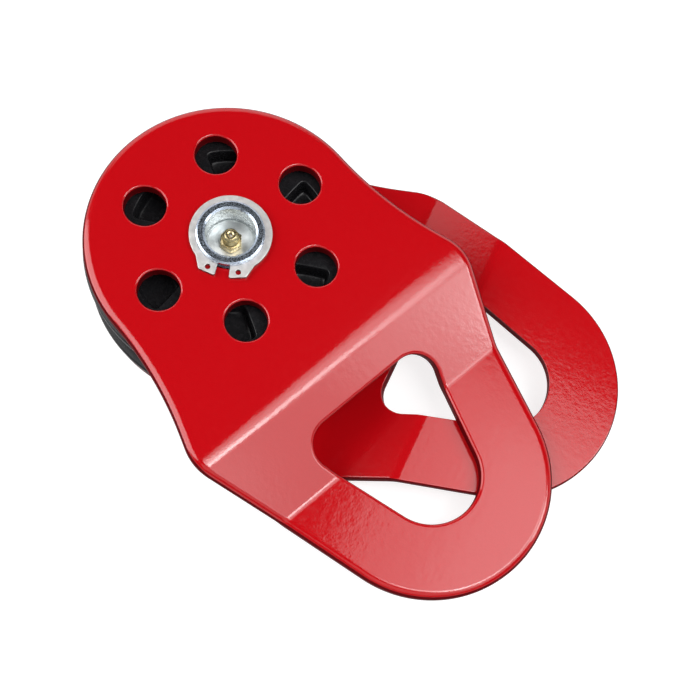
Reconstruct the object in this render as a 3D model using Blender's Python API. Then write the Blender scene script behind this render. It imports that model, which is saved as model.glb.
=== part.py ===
"""Winch pulley block: two joggled steel side plates that swing on a greased axle, with a ribbed sheave between.

The block lies flat. +Z is the axle's axis, z = 0 is the lower plate's outer face, and the lower
plate's bail points to +X. Sizes are millimetres and become metres when a mesh is made.
"""
import math

import bmesh
import bpy
from mathutils import Matrix

MM = 0.001

# Running and seating gaps between neighbouring pieces
CLEARANCE = 0.3

# Side plates
PLATE_T = 5.0            # steel thickness
HEAD_R = 53.0            # round head over the sheave
EDGE_R = 1.3             # eased edge of every cut
FLARE_R = 140.0          # hollow curve from the head out to the shoulder
FLARE_END = 45.0         # where the hollow curve turns straight
SHOULDER_AT = 57.5       # distance of the shoulder corner from the axle
SHOULDER_R = 21.0
WAIST_HALF_W = 52.6      # half width where the web meets the bail
WAIST_R = 120.0
BEND_1_AT = 59.3         # first press-brake line, measured in plan from the axle
BEND_2_AT = 90.8         # second press-brake line
BEND_INSIDE_R = 12.5
BAIL_AT = 112.0          # centre of the bail's round end, in plan
BAIL_R = 45.0
EYE_END_R = 18.3         # round end of the shackle eye, where the shackle pulls
EYE_BASE_AT = 73.0       # wide end of the eye, in plan
EYE_BASE_HALF_W = 31.3
EYE_CORNER_R = 9.6
WINDOW_COUNT = 6         # lightening windows round the axle
WINDOW_R = 7.75
WINDOW_PITCH_R = 33.0
SWING_DEG = -24.3        # how far the upper plate is swung open at rest

# Sheave
SHEAVE_W = 20.8
SHEAVE_R = 53.3
GROOVE_R = 5.5           # rope groove, for 10 mm rope
GROOVE_BOTTOM_R = 41.0
FLANGE_EDGE_R = 1.2
HUB_R = 23.5
POCKET_OUTER_R = 37.8
POCKET_DEPTH = 6.5
POCKET_CORNER_R = 2.5
RIB_COUNT = 6
RIB_W = 6.4
RIB_PHASE_DEG = 15.5

# Bush, washers and axle
AXLE_R = 12.5
BORE_GAP = 0.38          # faceted bores need a little more room than a flat seat
BUSH_WALL = 2.6
WASHER_R = 20.0
WASHER_T = 1.5
AXLE_HEAD_R = 15.6       # countersunk head, flush in the lower plate
AXLE_HEAD_T = 3.0
AXLE_HEAD_LAND = 0.3      # short upright edge round the head
AXLE_END_ABOVE = 3.5     # how far the axle's end stands above the upper plate
AXLE_CHAMFER = 0.7
RING_GROOVE_DEPTH = 0.85
CUP_R = 9.2              # counterbore that shelters the grease nipple
CUP_DEPTH = 8.5
CUP_CHAMFER = 0.9
GREASE_WAY_R = 1.5

# Retaining ring
RING_T = 1.2
RING_R = 15.4
RING_BACK_W = 3.0        # radial width opposite the gap
RING_FRONT_W = 2.3       # radial width beside the ears
RING_GAP_HALF_DEG = 8.0
RING_EAR_HALF_W = 3.2
RING_EAR_R = 17.4        # reach of the ears from the axis
RING_EAR_HOLE_R = 1.0
RING_EAR_HOLE_AT = 14.8
RING_GAP_DEG = -75.0     # direction of the gap

# Grease nipple
NIPPLE_HEX_AF = 7.0
NIPPLE_HEX_H = 3.0
NIPPLE_CHAMFER = 0.5
NIPPLE_H = 8.0           # from the hexagon's seat to the tip
NIPPLE_SHANK_R = 3.0
NIPPLE_SHANK_L = 5.0
NIPPLE_CONE_R = 3.1
NIPPLE_NECK_R = 2.0
NIPPLE_HEAD_R = 2.9
NIPPLE_HEAD_H = 2.2
NIPPLE_CHAMBER_R = 1.5
NIPPLE_MOUTH_R = 0.7
NIPPLE_LIP = 0.8
NIPPLE_BALL_R = 1.1
SPRING_R = 0.85
SPRING_WIRE_R = 0.2
SPRING_TURNS = 4
SPRING_LEAST_ROOM = 3.0

SEGMENTS = 60            # facets round the sheave
FINE_SEGMENTS = 40       # facets round the axle and its bores
WINDOW_SEGMENTS = 20
ARC_STEP_DEG = 9.0       # facet angle on the plates' outline arcs
BEND_CUTS = 3            # facets across each press-brake bend
FILLET_SHARE = 0.6       # the most of a straight run that one fillet may take

# Heights of the stack, from the lower plate's outer face
LOWER_WASHER_Z = PLATE_T + CLEARANCE
SHEAVE_Z = LOWER_WASHER_Z + WASHER_T + CLEARANCE
UPPER_WASHER_Z = SHEAVE_Z + SHEAVE_W + CLEARANCE
UPPER_PLATE_Z = UPPER_WASHER_Z + WASHER_T + CLEARANCE
UPPER_FACE_Z = UPPER_PLATE_Z + PLATE_T
RING_Z = UPPER_FACE_Z + CLEARANCE
AXLE_END_Z = UPPER_FACE_Z + AXLE_END_ABOVE
CUP_FLOOR_Z = AXLE_END_Z - CUP_DEPTH
NIPPLE_Z = CUP_FLOOR_Z + CLEARANCE
PLATE_SPACE = UPPER_PLATE_Z - PLATE_T
BAIL_DROP = (PLATE_SPACE - CLEARANCE) / 2

# Press-brake geometry of a plate, on its mid-surface
BEND_R = BEND_INSIDE_R + PLATE_T / 2
BEND_ANGLE = math.atan2(BAIL_DROP, BEND_2_AT - BEND_1_AT)
SETBACK = BEND_R * math.tan(BEND_ANGLE / 2)
BEND_LENGTH = BEND_R * BEND_ANGLE
WEB_LENGTH = math.hypot(BAIL_DROP, BEND_2_AT - BEND_1_AT) - 2 * SETBACK
BEND_1_START = BEND_1_AT - SETBACK
BEND_1_END = BEND_1_START + BEND_LENGTH
BEND_2_START = BEND_1_END + WEB_LENGTH
BEND_2_END = BEND_2_START + BEND_LENGTH


def clear_scene():
    for old in list(bpy.data.objects):
        bpy.data.objects.remove(old, do_unlink=True)


def material(name, colour, roughness, metallic):
    made = bpy.data.materials.new(name)
    made.use_nodes = True
    shader = made.node_tree.nodes["Principled BSDF"]
    shader.inputs["Base Color"].default_value = (*colour, 1.0)
    shader.inputs["Roughness"].default_value = roughness
    shader.inputs["Metallic"].default_value = metallic
    return made


def new_object(name, mesh, finish=None):
    made = bpy.data.objects.new(name, mesh)
    bpy.context.scene.collection.objects.link(made)
    if finish:
        mesh.materials.append(finish)
    return made


def finished_mesh(name, bm, smooth=True):
    """Turns a bmesh in millimetres into a mesh in metres with outward faces."""
    bmesh.ops.remove_doubles(bm, verts=bm.verts, dist=1e-4)
    bmesh.ops.recalc_face_normals(bm, faces=bm.faces)
    bmesh.ops.scale(bm, vec=(MM, MM, MM), verts=bm.verts)
    mesh = bpy.data.meshes.new(name)
    bm.to_mesh(mesh)
    bm.free()
    if smooth:
        mesh.shade_smooth()
        mesh.set_sharp_from_angle(angle=math.radians(35))
    return mesh


def cutter(name, bm, target, operation="DIFFERENCE"):
    """Adds a hidden solid that a Boolean takes from, or joins to, its target."""
    tool = new_object(name, finished_mesh(name, bm, smooth=False))
    tool.hide_render = True
    tool.display_type = "WIRE"
    boolean = target.modifiers.new(name, "BOOLEAN")
    boolean.operation = operation
    boolean.solver = "EXACT"
    boolean.object = tool
    tool.parent = target
    return tool


def arc(centre, radius, start, end, step_deg=ARC_STEP_DEG):
    """Points of an arc from one angle to another, in radians, ends included."""
    steps = max(2, math.ceil(abs(math.degrees(end - start)) / step_deg))
    angles = [start + (end - start) * i / steps for i in range(steps + 1)]
    return [(centre[0] + radius * math.cos(a), centre[1] + radius * math.sin(a)) for a in angles]


def fillet(before, corner, after, radius, step_deg=ARC_STEP_DEG):
    """An arc that rounds the corner between two straight runs, as far as the shorter run has room."""
    u = math.atan2(before[1] - corner[1], before[0] - corner[0])
    v = math.atan2(after[1] - corner[1], after[0] - corner[0])
    half = (v - u + math.pi) % (2 * math.pi) - math.pi
    room = FILLET_SHARE * min(math.dist(before, corner), math.dist(after, corner))
    radius = min(radius, room * math.tan(abs(half) / 2))
    reach = radius / math.sin(abs(half) / 2)
    middle = u + half / 2
    centre = (corner[0] + reach * math.cos(middle), corner[1] + reach * math.sin(middle))
    side = math.copysign(math.pi / 2, half)
    sweep = math.copysign(math.pi - abs(half), half)
    return arc(centre, radius, u - side, u - side - sweep, step_deg)


def tangent_angle(point, centre, radius):
    """Angle on a circle, above its axis, where the line from an outside point touches it."""
    dx, dy = point[0] - centre[0], point[1] - centre[1]
    return math.atan2(dy, dx) - math.acos(radius / math.hypot(dx, dy))


def unfold(x):
    """Distance along the flat blank for a place measured in plan on the bent plate."""
    web_start = BEND_1_AT + SETBACK * math.cos(BEND_ANGLE)
    web_end = BEND_2_AT - SETBACK * math.cos(BEND_ANGLE)
    if x <= BEND_1_START:
        return x
    if x < web_start:
        return BEND_1_START + (x - BEND_1_START) * BEND_LENGTH / (web_start - BEND_1_START)
    if x < web_end:
        return BEND_1_END + (x - web_start) / math.cos(BEND_ANGLE)
    return BEND_2_END + x - (BEND_2_AT + SETBACK)


def mirrored(half):
    """A closed outline from its upper half, whose first and last points lie on the centre line."""
    return half + [(x, -y) for x, y in reversed(half[1:-1])]


def blank_outline():
    """Outer edge of the flat blank: head, hollow flare, shoulder, waist and round bail."""
    rise = FLARE_R - math.sqrt(FLARE_R ** 2 - FLARE_END ** 2)
    slope = FLARE_END / (FLARE_R - rise)
    flare_angle = math.atan(slope)
    shoulder = (SHOULDER_AT, HEAD_R + rise + slope * (SHOULDER_AT - FLARE_END))
    waist = (unfold(BEND_2_AT), WAIST_HALF_W)
    bail = (unfold(BAIL_AT), 0.0)
    touch = tangent_angle(waist, bail, BAIL_R)
    landing = (bail[0] + BAIL_R * math.cos(touch), bail[1] + BAIL_R * math.sin(touch))
    flare = arc((0.0, HEAD_R + FLARE_R), FLARE_R, -math.pi / 2, flare_angle - math.pi / 2, 3.0)
    half = arc((0.0, 0.0), HEAD_R, math.pi, math.pi / 2)
    half += flare[1:]
    half += fillet(flare[-1], shoulder, waist, SHOULDER_R)
    half += fillet(shoulder, waist, landing, WAIST_R)
    half += arc(bail, BAIL_R, touch, 0.0)
    return mirrored(half)


def eye_outline():
    """Shackle eye: a rounded triangle whose narrow end is concentric with the bail.

    It runs against the outer edge's direction, so that its eased edges open outwards.
    """
    centre = (unfold(BAIL_AT), 0.0)
    base = (unfold(EYE_BASE_AT), 0.0)
    corner = (base[0], EYE_BASE_HALF_W)
    touch = tangent_angle(corner, centre, EYE_END_R)
    landing = (centre[0] + EYE_END_R * math.cos(touch), EYE_END_R * math.sin(touch))
    half = [base] + fillet(base, corner, landing, EYE_CORNER_R, 15.0)
    half += arc(centre, EYE_END_R, touch, 0.0, 12.0)
    return mirrored(half)[::-1]


def ring_outline(centre, radius, count):
    return [(centre[0] + radius * math.cos(2 * math.pi * i / count),
             centre[1] + radius * math.sin(2 * math.pi * i / count)) for i in range(count)]


def blank_loops():
    """Every cut edge of the blank: outline, shackle eye, axle bore and lightening windows."""
    loops = [blank_outline(), eye_outline(), ring_outline((0.0, 0.0), AXLE_R + BORE_GAP, FINE_SEGMENTS)]
    for i in range(WINDOW_COUNT):
        angle = 2 * math.pi * (i + 0.5) / WINDOW_COUNT
        centre = (WINDOW_PITCH_R * math.cos(angle), WINDOW_PITCH_R * math.sin(angle))
        loops.append(ring_outline(centre, WINDOW_R, WINDOW_SEGMENTS))
    return loops


def cut_blank():
    """The flat blank, cut from plate with eased edges, as a bmesh in millimetres."""
    curve = bpy.data.curves.new("blank", "CURVE")
    curve.dimensions = "2D"
    curve.fill_mode = "BOTH"
    curve.extrude = PLATE_T / 2 - EDGE_R
    curve.bevel_depth = EDGE_R
    curve.bevel_resolution = 0
    curve.offset = -EDGE_R
    for loop in blank_loops():
        spline = curve.splines.new("POLY")
        spline.points.add(len(loop) - 1)
        for point, (x, y) in zip(spline.points, loop):
            point.co = (x, y, 0.0, 1.0)
        spline.use_cyclic_u = True
    holder = new_object("blank", curve)
    flat = bpy.data.meshes.new_from_object(holder.evaluated_get(bpy.context.evaluated_depsgraph_get()))
    bm = bmesh.new()
    bm.from_mesh(flat)
    bmesh.ops.remove_doubles(bm, verts=bm.verts, dist=1e-4)
    bpy.data.objects.remove(holder)
    bpy.data.curves.remove(curve)
    bpy.data.meshes.remove(flat)
    return bm


def bent(s, y, n):
    """Where the press brake carries a point: s along the blank, n above its mid-surface."""
    if s <= BEND_1_START:
        return s, y, n
    turn = min(s - BEND_1_START, BEND_LENGTH) / BEND_R
    x = BEND_1_START + BEND_R * math.sin(turn)
    z = -BEND_R * (1 - math.cos(turn))
    if s > BEND_1_END:
        run = min(s, BEND_2_START) - BEND_1_END
        x += run * math.cos(BEND_ANGLE)
        z -= run * math.sin(BEND_ANGLE)
    if s > BEND_2_START:
        back = min(s - BEND_2_START, BEND_LENGTH) / BEND_R
        turn = BEND_ANGLE - back
        x += BEND_R * (math.sin(BEND_ANGLE) - math.sin(turn))
        z -= BEND_R * (math.cos(turn) - math.cos(BEND_ANGLE))
    x += max(0.0, s - BEND_2_END)
    return x + n * math.sin(turn), y, z + n * math.cos(turn)


def side_plate(name, finish):
    """One joggled side plate, outer face up, with its mid-surface at z = 0 over the sheave."""
    bm = cut_blank()
    for start in (BEND_1_START, BEND_2_START):
        for i in range(BEND_CUTS + 1):
            bmesh.ops.bisect_plane(
                bm,
                geom=bm.verts[:] + bm.edges[:] + bm.faces[:],
                plane_co=(start + BEND_LENGTH * i / BEND_CUTS, 0, 0),
                plane_no=(1, 0, 0),
            )
    for vert in bm.verts:
        vert.co = bent(*vert.co)
    return new_object(name, finished_mesh(name, bm), finish)


def turned(profile, count, closed=True):
    """A bmesh turned about Z from a profile of (radius, height) points, in millimetres."""
    bm = bmesh.new()
    verts = [bm.verts.new((r, 0.0, z)) for r, z in profile]
    pairs = list(zip(verts, verts[1:]))
    if closed:
        pairs.append((verts[-1], verts[0]))
    edges = [bm.edges.new(pair) for pair in pairs]
    bmesh.ops.spin(bm, geom=verts + edges, cent=(0, 0, 0), axis=(0, 0, 1),
                   angle=2 * math.pi, steps=count, use_merge=True)
    bmesh.ops.remove_doubles(bm, verts=bm.verts, dist=1e-4)
    return bm


def prism(outline, low, high):
    """A bmesh prism from a closed outline."""
    bm = bmesh.new()
    face = bm.faces.new([bm.verts.new((x, y, low)) for x, y in outline])
    top = bmesh.ops.extrude_face_region(bm, geom=[face])
    lifted = [g for g in top["geom"] if isinstance(g, bmesh.types.BMVert)]
    bmesh.ops.translate(bm, vec=(0, 0, high - low), verts=lifted)
    bmesh.ops.recalc_face_normals(bm, faces=bm.faces)
    return bm


def joined(parts):
    """One bmesh that holds several separate solids."""
    whole = bmesh.new()
    for part in parts:
        scratch = bpy.data.meshes.new("scratch")
        part.to_mesh(scratch)
        part.free()
        whole.from_mesh(scratch)
        bpy.data.meshes.remove(scratch)
    return whole


def annulus(inner, outer, low, high, chamfer):
    """Profile of a ring with both outer corners chamfered."""
    return [(inner, low), (outer - chamfer, low), (outer, low + chamfer),
            (outer, high - chamfer), (outer - chamfer, high), (inner, high)]


def sheave_profile():
    """Half section of the sheave: side faces, rounded flange edges and the round rope groove."""
    middle = SHEAVE_W / 2
    groove_centre_r = GROOVE_BOTTOM_R + GROOVE_R
    bore = AXLE_R + BORE_GAP + BUSH_WALL + CLEARANCE
    flange_in = middle - FLANGE_EDGE_R
    rim_r = SHEAVE_R - FLANGE_EDGE_R
    mouth = GROOVE_R + (rim_r - groove_centre_r) * math.tan(math.radians(20))
    lower = [(bore, 0.0), (rim_r, 0.0)]
    lower += arc((rim_r, FLANGE_EDGE_R), FLANGE_EDGE_R, -math.pi / 2, math.pi / 3, 40)[1:]
    lower += [(rim_r, middle - mouth)]
    groove = arc((groove_centre_r, middle), GROOVE_R, -math.radians(70), -math.radians(290), 22)
    upper = [(r, SHEAVE_W - z) for r, z in reversed(lower)]
    assert flange_in > mouth
    return lower + groove + upper


def pocket_outline(index):
    """One recess between two ribs, bounded by the hub, the rim and the ribs' parallel sides."""
    centre = RIB_PHASE_DEG + (index + 0.5) * 360 / RIB_COUNT
    outline = []
    for radius, direction in ((POCKET_OUTER_R, 1), (HUB_R, -1)):
        half = 180 / RIB_COUNT - math.degrees(math.asin(RIB_W / 2 / radius))
        outline += arc((0, 0), radius, math.radians(centre - direction * half),
                       math.radians(centre + direction * half), 8)
    return outline


def pocket(index, low, high):
    """A recess as a solid, with its four upright corners rounded."""
    bm = prism(pocket_outline(index), low, high)
    uprights = [e for e in bm.edges if abs(e.verts[0].co.z - e.verts[1].co.z) > (high - low) / 2
                and e.calc_face_angle() > math.radians(50)]
    bmesh.ops.bevel(bm, geom=uprights, offset=POCKET_CORNER_R, segments=2,
                    profile=0.5, affect="EDGES")
    return bm


def sheave(finish):
    body = new_object("sheave", finished_mesh("sheave", turned(sheave_profile(), SEGMENTS)), finish)
    body.location.z = SHEAVE_Z * MM
    depth = POCKET_DEPTH
    recesses = [pocket(i, -1.0, depth) for i in range(RIB_COUNT)]
    recesses += [pocket(i, SHEAVE_W - depth, SHEAVE_W + 1.0) for i in range(RIB_COUNT)]
    cutter("sheave_pockets", joined(recesses), body)
    return body


def bush(finish):
    inner = AXLE_R + BORE_GAP
    profile = annulus(inner, inner + BUSH_WALL, 0.0, SHEAVE_W, 0.4)
    made = new_object("sheave_bush", finished_mesh("sheave_bush", turned(profile, FINE_SEGMENTS)), finish)
    made.location.z = SHEAVE_Z * MM
    return made


def thrust_washer(name, height, finish):
    profile = annulus(AXLE_R + BORE_GAP, WASHER_R, 0.0, WASHER_T, 0.2)
    made = new_object(name, finished_mesh(name, turned(profile, FINE_SEGMENTS)), finish)
    made.location.z = height * MM
    return made


def axle(finish):
    """Hollow axle: countersunk head, shank, ring groove, and a cup for the grease nipple."""
    groove_low = RING_Z - CLEARANCE
    groove_high = RING_Z + RING_T + CLEARANCE
    groove_r = AXLE_R - RING_GROOVE_DEPTH
    socket_r = NIPPLE_SHANK_R + CLEARANCE
    socket_low = NIPPLE_Z - NIPPLE_SHANK_L - 2 * CLEARANCE
    way_low = SHEAVE_Z + SHEAVE_W / 2 - 2 * GREASE_WAY_R
    profile = [
        (0.0, 0.0), (AXLE_HEAD_R, 0.0), (AXLE_HEAD_R, AXLE_HEAD_LAND), (AXLE_R, AXLE_HEAD_T),
        (AXLE_R, groove_low), (groove_r, groove_low), (groove_r, groove_high), (AXLE_R, groove_high),
        (AXLE_R, AXLE_END_Z - AXLE_CHAMFER), (AXLE_R - AXLE_CHAMFER, AXLE_END_Z),
        (CUP_R + CUP_CHAMFER, AXLE_END_Z), (CUP_R, AXLE_END_Z - CUP_CHAMFER),
        (CUP_R, CUP_FLOOR_Z + 0.6), (CUP_R - 0.6, CUP_FLOOR_Z),
        (socket_r, CUP_FLOOR_Z), (socket_r, socket_low),
        (GREASE_WAY_R, socket_low - 1.0), (GREASE_WAY_R, way_low), (0.0, way_low - 0.8),
    ]
    made = new_object("axle_pin", finished_mesh("axle_pin", turned(profile, FINE_SEGMENTS, closed=False)), finish)
    cross = prism(ring_outline((0.0, 0.0), GREASE_WAY_R * 0.8, 12), 0.0, AXLE_R + 2)
    bmesh.ops.rotate(cross, cent=(0, 0, 0), matrix=Matrix.Rotation(math.radians(-90), 3, "Y"), verts=cross.verts)
    bmesh.ops.translate(cross, vec=(0, 0, SHEAVE_Z + SHEAVE_W / 2), verts=cross.verts)
    cutter("grease_cross_drilling", cross, made)
    return made


def countersink(plate):
    """Opens the lower plate's bore for the axle's flush head. The plate's outer face is up here."""
    face = PLATE_T / 2
    slope = (AXLE_HEAD_R - AXLE_R) / (AXLE_HEAD_T - AXLE_HEAD_LAND)
    head_r = AXLE_HEAD_R + AXLE_HEAD_LAND * slope + CLEARANCE * math.hypot(1.0, slope)
    top_r = head_r + slope * 1.0
    bottom_r = AXLE_R - slope * 0.5
    depth = (head_r - bottom_r) / slope
    profile = [(0.0, face + 1.0), (top_r, face + 1.0), (bottom_r, face - depth), (0.0, face - depth)]
    cutter("lower_plate_countersink", turned(profile, FINE_SEGMENTS, closed=False), plate)


def ring_shape():
    """Outline of the retaining ring with its gap at the +X side: tapered body and two ears."""
    inner = AXLE_R - RING_GROOVE_DEPTH / 2
    shift = (RING_BACK_W - RING_FRONT_W) / 2
    outer_r = RING_R - shift
    gap = math.radians(RING_GAP_HALF_DEG)
    ear_at = gap + math.asin(RING_EAR_HALF_W / RING_EAR_HOLE_AT)
    ear_far = ear_at + math.asin(RING_EAR_HALF_W / RING_EAR_HOLE_AT)
    outline = arc((0, 0), inner, gap, 2 * math.pi - gap, 8)
    cos_gap = math.cos(gap)
    lower_ear = [(RING_EAR_R * cos_gap, -RING_EAR_R * math.sin(gap))]
    lower_ear += arc((0, 0), RING_EAR_R, -gap, -(ear_far - 0.06), 8)[1:]
    body = arc((-shift, 0), outer_r, -(ear_far + 0.05), -(2 * math.pi - ear_far - 0.05), 8)
    upper_ear = [(x, -y) for x, y in reversed(lower_ear)]
    return outline + lower_ear + body + upper_ear, ear_at


def retaining_ring(finish):
    outline, ear_at = ring_shape()
    made = new_object("retaining_ring", finished_mesh("retaining_ring", prism(outline, 0.0, RING_T)), finish)
    made.location.z = RING_Z * MM
    made.rotation_euler.z = math.radians(RING_GAP_DEG)
    holes = []
    for side in (-1, 1):
        centre = (RING_EAR_HOLE_AT * math.cos(ear_at), side * RING_EAR_HOLE_AT * math.sin(ear_at))
        holes.append(prism(ring_outline(centre, RING_EAR_HOLE_R, 16), -1.0, RING_T + 1.0))
    cutter("ring_ear_holes", joined(holes), made)
    return made


def nipple(finish):
    """Grease nipple: hexagon, cone, neck and ball-shaped head on a threaded shank, bored through."""
    corner_r = NIPPLE_HEX_AF / math.sqrt(3)
    hexagon = prism(ring_outline((0, 0), corner_r, 6), 0.0, NIPPLE_HEX_H)
    rims = [e for e in hexagon.edges if abs(e.verts[0].co.z - e.verts[1].co.z) < 1e-6]
    bmesh.ops.bevel(hexagon, geom=rims, offset=NIPPLE_CHAMFER * 0.6, segments=1, affect="EDGES")
    made = new_object("grease_nipple", finished_mesh("grease_nipple", hexagon), finish)
    made.location.z = NIPPLE_Z * MM
    head_low = NIPPLE_H - NIPPLE_HEAD_H
    neck_low = NIPPLE_HEX_H + (head_low - NIPPLE_HEX_H) * 0.65
    stem = [
        (0.0, -NIPPLE_SHANK_L), (NIPPLE_SHANK_R - 0.5, -NIPPLE_SHANK_L),
        (NIPPLE_SHANK_R, -NIPPLE_SHANK_L + 0.5), (NIPPLE_SHANK_R, 1.0), (NIPPLE_CONE_R, 1.2),
        (NIPPLE_CONE_R, NIPPLE_HEX_H + 0.3), (NIPPLE_NECK_R, neck_low), (NIPPLE_NECK_R, head_low),
        (NIPPLE_HEAD_R, head_low + 0.7), (NIPPLE_HEAD_R, head_low + 1.1),
        (NIPPLE_HEAD_R * 0.72, NIPPLE_H - 0.3), (NIPPLE_HEAD_R * 0.5, NIPPLE_H), (0.0, NIPPLE_H),
    ]
    cutter("nipple_stem", turned(stem, 24, closed=False), made, "UNION")
    chamber_top = NIPPLE_H - NIPPLE_LIP
    way = [
        (0.0, -NIPPLE_SHANK_L - 1.0), (NIPPLE_CHAMBER_R, -NIPPLE_SHANK_L - 1.0),
        (NIPPLE_CHAMBER_R, chamber_top - 0.5), (NIPPLE_MOUTH_R, chamber_top + 0.2),
        (NIPPLE_MOUTH_R, NIPPLE_H + 1.0), (0.0, NIPPLE_H + 1.0),
    ]
    cutter("nipple_grease_way", turned(way, 16, closed=False), made)
    return made


def nipple_ball(finish):
    bm = bmesh.new()
    bmesh.ops.create_uvsphere(bm, u_segments=12, v_segments=8, radius=NIPPLE_BALL_R)
    made = new_object("nipple_ball", finished_mesh("nipple_ball", bm), finish)
    made.location.z = (NIPPLE_Z + NIPPLE_H - NIPPLE_LIP - NIPPLE_BALL_R - CLEARANCE) * MM
    return made


def nipple_spring(ball_z, finish):
    """Check-valve spring: a helix that stands under the ball."""
    top = ball_z - NIPPLE_BALL_R - SPRING_WIRE_R
    length = max(SPRING_LEAST_ROOM, NIPPLE_H - NIPPLE_HEX_H + 1.0)
    count = SPRING_TURNS * 10
    curve = bpy.data.curves.new("nipple_spring", "CURVE")
    curve.dimensions = "3D"
    curve.bevel_depth = SPRING_WIRE_R * MM
    curve.bevel_resolution = 1
    curve.use_fill_caps = True
    spline = curve.splines.new("POLY")
    spline.points.add(count)
    for i, point in enumerate(spline.points):
        angle = 2 * math.pi * i / 10
        height = top - CLEARANCE / 2 - length * (1 - i / count)
        point.co = (SPRING_R * math.cos(angle) * MM, SPRING_R * math.sin(angle) * MM, height * MM, 1.0)
    return new_object("nipple_spring", curve, finish)


def build():
    clear_scene()
    red = material("red_powder_coat", (0.60, 0.006, 0.012), 0.28, 0.0)
    black = material("black_sheave_paint", (0.012, 0.012, 0.013), 0.45, 0.0)
    zinc = material("zinc_plating", (0.62, 0.64, 0.66), 0.30, 1.0)
    spring_steel = material("spring_steel", (0.55, 0.55, 0.53), 0.38, 1.0)
    brass = material("brass", (0.78, 0.62, 0.30), 0.25, 1.0)
    bronze = material("bronze", (0.55, 0.36, 0.18), 0.40, 1.0)

    lower = side_plate("lower_side_plate", red)
    lower.location.z = PLATE_T / 2 * MM
    lower.rotation_euler.x = math.pi
    countersink(lower)

    upper = side_plate("upper_side_plate", red)
    upper.location.z = (UPPER_PLATE_Z + PLATE_T / 2) * MM
    upper.rotation_euler.z = math.radians(SWING_DEG)

    sheave(black)
    bush(bronze)
    thrust_washer("lower_thrust_washer", LOWER_WASHER_Z, zinc)
    thrust_washer("upper_thrust_washer", UPPER_WASHER_Z, zinc)
    axle(zinc)
    retaining_ring(spring_steel)
    nipple(brass)
    ball = nipple_ball(spring_steel)
    nipple_spring(ball.location.z / MM, spring_steel)


build()
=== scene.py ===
# %% [markdown]
# # A winch pulley block
#
# The block lies on a pale table. Two red steel side plates swing on one axle, with a black
# grooved wheel, the sheave, between them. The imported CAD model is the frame: it says where each
# piece is. Each cell below gives one piece, or one finish, its real surface.
#
# Shapes are written in millimetres, because the drawings of such parts are, and become metres
# when their points go into a mesh.

# %% Load the frame
import math

import bmesh
import bpy
import numpy as np
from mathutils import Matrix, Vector
from mathutils.geometry import delaunay_2d_cdt


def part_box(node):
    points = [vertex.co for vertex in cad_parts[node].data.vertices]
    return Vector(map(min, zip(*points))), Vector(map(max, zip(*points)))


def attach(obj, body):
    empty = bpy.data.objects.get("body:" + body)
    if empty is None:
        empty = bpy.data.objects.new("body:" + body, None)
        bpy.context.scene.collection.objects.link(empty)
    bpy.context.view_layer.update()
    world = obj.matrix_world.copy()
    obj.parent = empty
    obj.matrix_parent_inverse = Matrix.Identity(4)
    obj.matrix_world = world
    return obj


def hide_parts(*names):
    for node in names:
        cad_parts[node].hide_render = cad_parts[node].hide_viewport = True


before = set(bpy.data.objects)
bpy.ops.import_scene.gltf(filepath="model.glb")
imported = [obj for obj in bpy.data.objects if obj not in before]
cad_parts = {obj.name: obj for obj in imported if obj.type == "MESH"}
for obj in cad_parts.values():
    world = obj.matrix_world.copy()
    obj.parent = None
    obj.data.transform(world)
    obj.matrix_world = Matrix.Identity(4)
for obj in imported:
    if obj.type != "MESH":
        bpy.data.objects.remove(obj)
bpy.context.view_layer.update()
scene = bpy.context.scene
MM = 0.001
print("nodes", sorted(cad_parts))

# %% [markdown]
# ## Turning points into a mesh
#
# Every surface here is worked out as whole arrays of points and normals. A grid of points has
# two directions, and either of them may close on itself. One helper welds points that fall on
# the same spot, which closes seams and poles, and hands the exact normals to Blender. Exact
# normals matter on painted plate: averaged ones would bend the reflections near every edge.

# %% Weld and build
SPOTS_PER_MM = 1e4


def grid_faces(rows, columns, close_rows=False, close_columns=False, start=0):
    """Quads of a grid whose point (i, j) has the index start + i * columns + j."""
    i = np.arange(rows if close_rows else rows - 1)[:, None]
    j = np.arange(columns if close_columns else columns - 1)[None, :]
    i2 = (i + 1) % rows
    j2 = (j + 1) % columns
    corners = [i * columns + j, i2 * columns + j, i2 * columns + j2, i * columns + j2]
    return np.stack(corners, axis=-1).reshape(-1, 4) + start


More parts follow.
